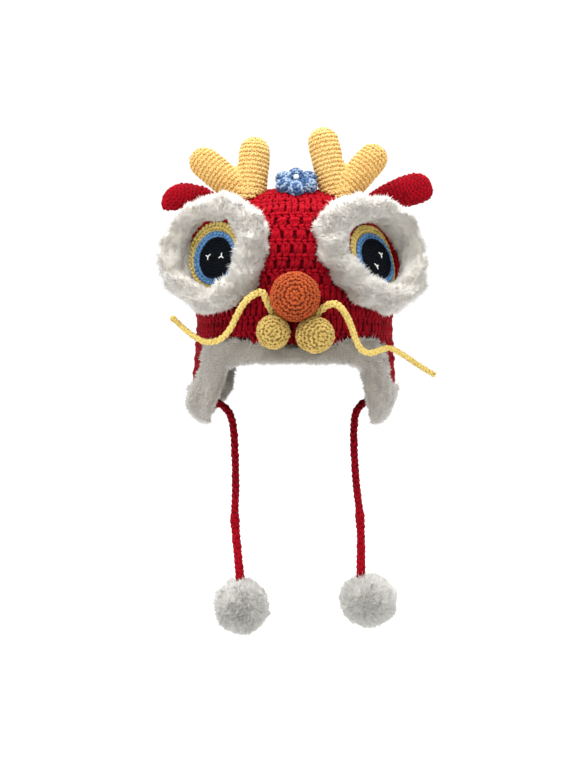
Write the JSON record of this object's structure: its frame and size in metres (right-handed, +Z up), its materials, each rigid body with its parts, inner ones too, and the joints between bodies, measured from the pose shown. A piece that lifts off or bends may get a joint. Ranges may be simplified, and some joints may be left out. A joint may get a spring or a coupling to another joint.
{
  "type": "crochet lion hat with ear flaps and pompom ties",
  "caption": "Child's crochet festival lion hat: open red crown with ear flaps, white plush edging, fur-ringed eyes, stuffed antlers and ears, ball nose, whiskers and hanging pompom ties.",
  "frame": {"origin": "inside of the crown's top, where the hat rests on the head", "axes": "+Z up, the face looks along -Y, +X is on the right as the face is seen"},
  "size_m": [0.2364, 0.2155, 0.432],
  "materials": {
    "red_yarn": "matte crochet",
    "white_plush": "matte plush pile",
    "yellow_yarn": "matte crochet",
    "lemon_yarn": "matte crochet",
    "blue_yarn": "matte crochet",
    "black_yarn": "matte crochet",
    "orange_yarn": "matte crochet",
    "pearl_bead": "pearly"
  },
  "bodies": {
    "root": {"crown": "red_yarn", "plush_edging": "white_plush", "eye_pad_left": "red_yarn", "eye_pad_right": "red_yarn", "eye_rim_left": "lemon_yarn", "eye_rim_right": "lemon_yarn", "iris_left": "blue_yarn", "iris_right": "blue_yarn", "pupil_left": "black_yarn", "pupil_right": "black_yarn", "eye_collar_left": "white_plush", "eye_collar_right": "white_plush", "antler_left": "yellow_yarn", "antler_right": "yellow_yarn", "ear_left": "red_yarn", "ear_right": "red_yarn", "flower": "blue_yarn", "flower_bead": "pearl_bead", "nose": "orange_yarn", "mouth_ball_left": "lemon_yarn", "mouth_ball_right": "lemon_yarn", "whisker_left": "lemon_yarn", "whisker_right": "lemon_yarn", "tie_left": "red_yarn", "tie_right": "red_yarn", "pompom_left": "white_plush", "pompom_right": "white_plush"}
  },
  "joints": []
}
